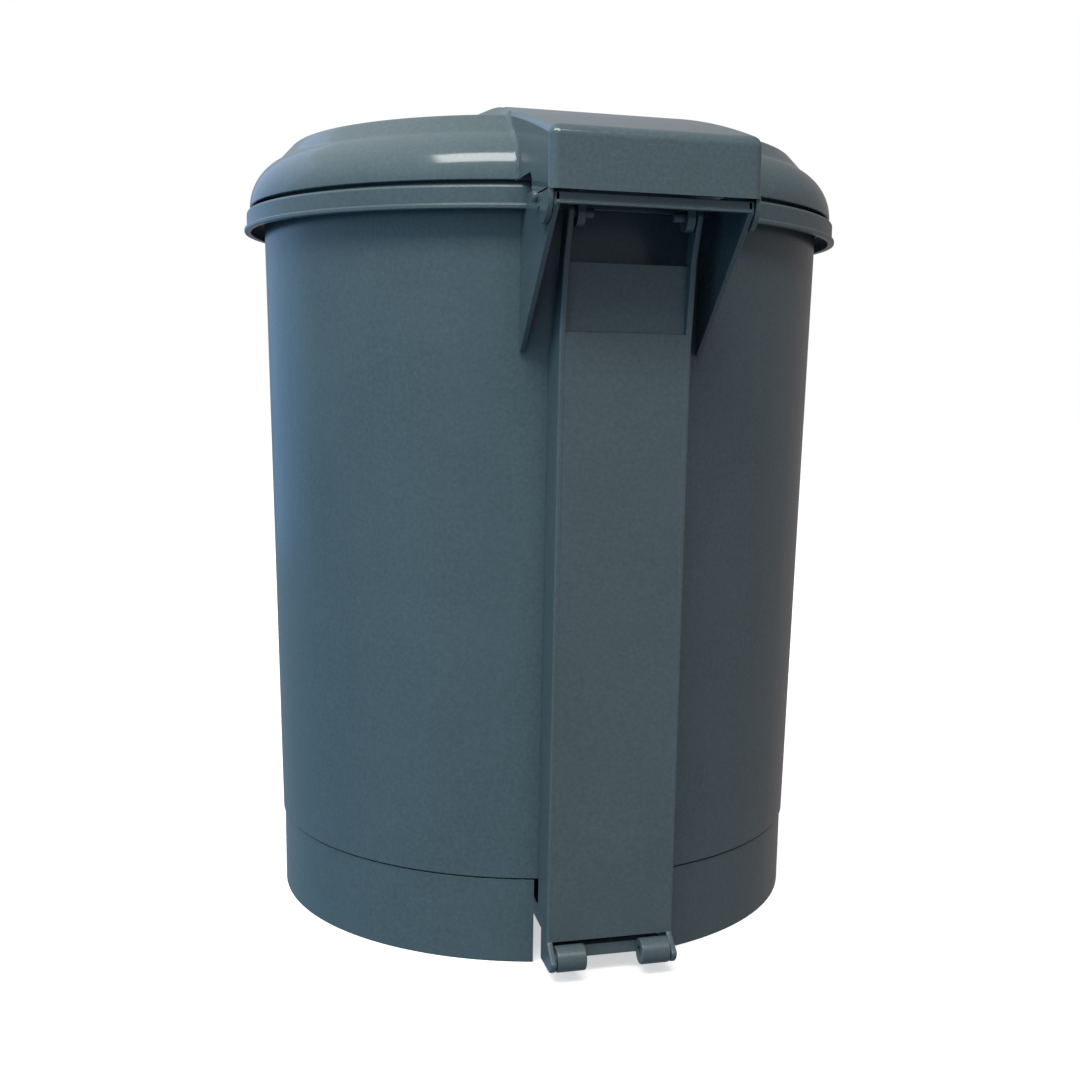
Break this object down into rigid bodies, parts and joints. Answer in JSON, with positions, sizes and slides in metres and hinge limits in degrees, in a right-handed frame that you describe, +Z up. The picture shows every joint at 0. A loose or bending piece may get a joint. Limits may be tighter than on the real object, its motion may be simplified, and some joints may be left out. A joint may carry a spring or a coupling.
{
  "type": "pedal trash can",
  "caption": "Round moulded pedal bin with a two-tier lid hinged at the rear and opened by a pedal through a lever and a lift strap.",
  "frame": {"origin": "centre of the bucket's axis on the floor", "axes": "+Z up, pedal towards -Y, lid hinge and lift strap towards +Y, +X to the right of someone facing +Y"},
  "size_m": [0.4024, 0.5078, 0.5109],
  "materials": {
    "grey_plastic": "satin",
    "lid_plastic": "semi-gloss",
    "steel": "drawn"
  },
  "bodies": {
    "bin": {"bin_body": "grey_plastic", "base_ring": "grey_plastic", "base_screws": "steel", "fulcrum_rod": "steel", "rod_clips": "steel"},
    "lid": {"lid": "lid_plastic"},
    "pedal": {"pedal_lever": "grey_plastic"},
    "strap": {"lift_strap": "grey_plastic"}
  },
  "joints": [
    {"name": "lid_hinge", "type": "hinge", "parent": "bin", "child": "lid", "pos_m": [0, 0.2325, 0.446], "axis": [-1, 0, 0], "range_deg": [0, 68]},
    {"name": "pedal_fulcrum", "type": "hinge", "parent": "bin", "child": "pedal", "pos_m": [0, 0.07, 0.024], "axis": [1, 0, 0], "range_deg": [0, 7.1]},
    {"name": "strap_foot", "type": "hinge", "parent": "pedal", "child": "strap", "pos_m": [0, 0.20383, 0.015], "axis": [-1, 0, 0], "range_deg": [0, 7.6]}
  ],
  "couplings": [
    {"joint": "pedal_fulcrum", "follows": "lid_hinge", "ratio": 0.10408},
    {"joint": "strap_foot", "follows": "lid_hinge", "ratio": 0.11115}
  ]
}
